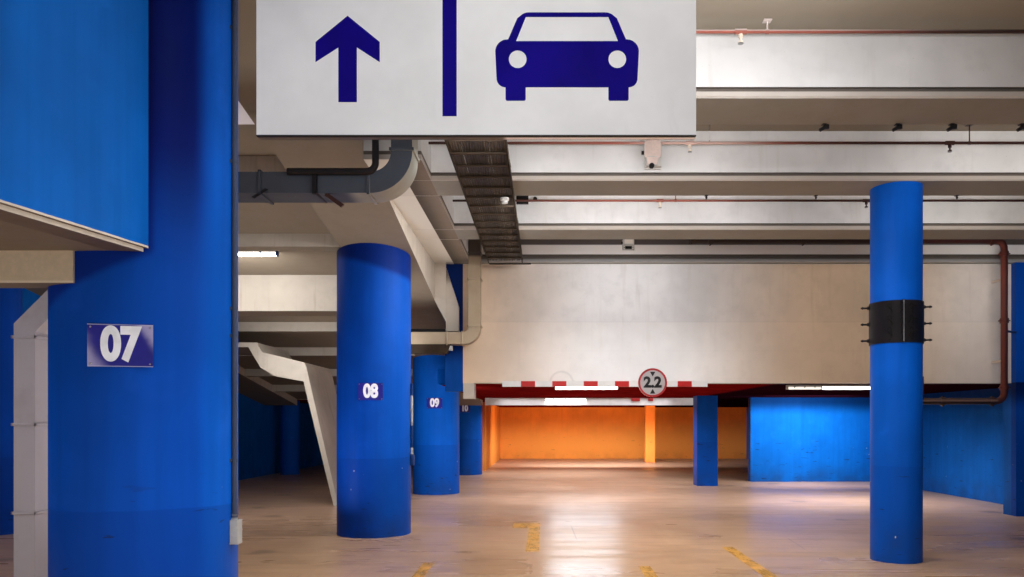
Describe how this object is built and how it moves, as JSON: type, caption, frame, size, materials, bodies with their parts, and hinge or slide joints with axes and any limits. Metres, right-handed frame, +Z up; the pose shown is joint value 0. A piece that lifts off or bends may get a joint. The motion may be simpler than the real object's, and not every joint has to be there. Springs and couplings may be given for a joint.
{
  "type": "split-level parking hall section of a multi storey car park",
  "caption": "Split-level parking hall, open in front: ribbed deck, ramp on the left, low hall behind, blue columns, orange end room, hanging signs, ducts and pipes.",
  "frame": {"origin": "middle of the floor slab's underside, at the bottom centre of the section", "axes": "+Z up, +Y along the driving lane from the open front to the back wall, +X across the hall to the right as seen from the open front"},
  "size_m": [19, 36, 5.74],
  "materials": {
    "garage_floor": "sealed dark concrete with a gloss and tyre marks",
    "raw_concrete": "fair-faced concrete, matt, with board marks",
    "painted_concrete": "white masonry paint, matt and greyed",
    "maroon_ceiling": "dark maroon ceiling paint, matt",
    "blue_wall_paint": "deep blue masonry paint, satin",
    "blue_column_paint": "bright blue masonry paint, satin",
    "orange_wall_paint": "orange masonry paint, satin",
    "black_steel": "black paint, semi-matt",
    "plain_steel": "zinc-coated steel",
    "grey_duct": "galvanised sheet, dulled",
    "red_pipe_paint": "oxide red paint, satin",
    "brown_tray": "dusty brown steel",
    "black_cable": "black cable sheath",
    "sign_panel": "off-white enamel with printed bands",
    "plate_navy": "navy plate with plain white numbers",
    "lamp_cover": "opal plastic lamp cover, lit",
    "grey_conduit": "pale grey plastic conduit"
  },
  "bodies": {
    "root": {"floor_slab": "garage_floor", "roof_deck_main": "raw_concrete", "roof_deck_front_left": "raw_concrete", "roof_deck_rear_left": "raw_concrete", "mid_deck_main": "maroon_ceiling", "mid_deck_rear_left": "maroon_ceiling", "landing_deck": "raw_concrete", "hall_ribs": "painted_concrete", "upper_storey_ribs": "painted_concrete", "left_wall": "blue_wall_paint", "right_wall": "blue_wall_paint", "back_wall": "orange_wall_paint", "hall_end_wall": "painted_concrete", "end_wall_pier": "blue_wall_paint", "end_wall_blocks": "raw_concrete", "partition_wall": "blue_wall_paint", "orange_side_wall": "orange_wall_paint", "low_beam": "painted_concrete", "left_columns": "blue_column_paint", "outer_left_columns": "blue_column_paint", "round_column": "blue_column_paint", "column_collar": "black_steel", "square_column": "blue_column_paint", "orange_column": "orange_wall_paint", "upper_storey_columns": "painted_concrete", "ramp_slab": "raw_concrete", "ramp_edge_beams": "raw_concrete", "ramp_ribs": "raw_concrete", "folded_landing": "raw_concrete", "landing_wall": "blue_wall_paint", "landing_beam": "raw_concrete", "direction_sign": "sign_panel", "sign_rods": "plain_steel", "height_bar": "sign_panel", "height_sign": "sign_panel", "main_duct": "grey_duct", "left_riser": "grey_duct", "black_pipe": "black_steel", "wall_duct": "grey_duct", "sprinkler_pipes": "red_pipe_paint", "red_main": "red_pipe_paint", "cable_tray": "brown_tray", "tray_cables": "black_cable", "batten_lights": "lamp_cover", "bulkhead_lamps": "lamp_cover", "number_plates": "plate_navy", "column_conduits": "grey_conduit"}
  },
  "joints": []
}
